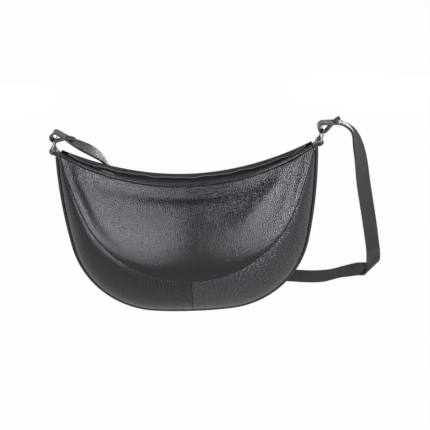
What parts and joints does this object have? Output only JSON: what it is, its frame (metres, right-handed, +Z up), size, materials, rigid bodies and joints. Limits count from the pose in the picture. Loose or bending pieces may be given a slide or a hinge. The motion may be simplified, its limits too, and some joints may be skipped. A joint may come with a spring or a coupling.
{
  "type": "half moon bag",
  "caption": "Half moon shoulder bag of pebbled leather with a piped outer seam, a zip set below its curved mouth, and a flat strap looped round metal rings at its top corners.",
  "frame": {"origin": "on the floor, under the middle of the outer seam's piping, which the bag stands on", "axes": "+X to the right as seen from the front, +Y to the back, +Z up"},
  "size_m": [0.4541, 0.1613, 0.2696],
  "materials": {
    "bag_leather": "pebbled, semi-matt",
    "strap_leather": "pebbled, semi-matt",
    "lining_cloth": "woven, matt",
    "zip_tape": "woven, matt",
    "zip_coil": "satin",
    "zip_metal": "polished nickel",
    "ring_metal": "polished nickel with a warm tint"
  },
  "bodies": {
    "bag": {"front_panel": "bag_leather", "back_panel": "bag_leather", "front_band_left": "bag_leather", "front_band_right": "bag_leather", "back_band_left": "bag_leather", "back_band_right": "bag_leather", "piping": "bag_leather", "mouth_facing_front": "bag_leather", "mouth_facing_back": "bag_leather", "ring_tab_left": "bag_leather", "ring_tab_right": "bag_leather", "strap": "strap_leather", "lining_front": "lining_cloth", "lining_back": "lining_cloth", "zip_tape_front": "zip_tape", "zip_tape_back": "zip_tape", "zip_coil_front": "zip_coil", "zip_coil_back": "zip_coil", "zip_stops": "zip_metal"},
    "ring_left": {"ring_left": "ring_metal"},
    "ring_right": {"ring_right": "ring_metal"},
    "zip_slider": {"zip_slider": "zip_metal"},
    "zip_pull": {"zip_pull": "zip_metal"}
  },
  "joints": [
    {"name": "ring_left_swing", "type": "hinge", "parent": "bag", "child": "ring_left", "pos_m": [-0.1767, 0, 0.2367], "axis": [0, 1, 0], "range_deg": [-45, 45], "deforming": ["strap"]},
    {"name": "ring_right_swing", "type": "hinge", "parent": "bag", "child": "ring_right", "pos_m": [0.1767, 0, 0.2367], "axis": [0, 1, 0], "range_deg": [-45, 45], "deforming": ["strap"]},
    {"name": "zip_run", "type": "hinge", "parent": "bag", "child": "zip_slider", "pos_m": [0, 0, 0.5314], "axis": [0, -1, 0], "range_deg": [0, 41.5]},
    {"name": "pull_swing", "type": "hinge", "parent": "zip_slider", "child": "zip_pull", "pos_m": [-0.12114, 0, 0.2078], "axis": [0, -1, 0], "range_deg": [0, 165]}
  ]
}
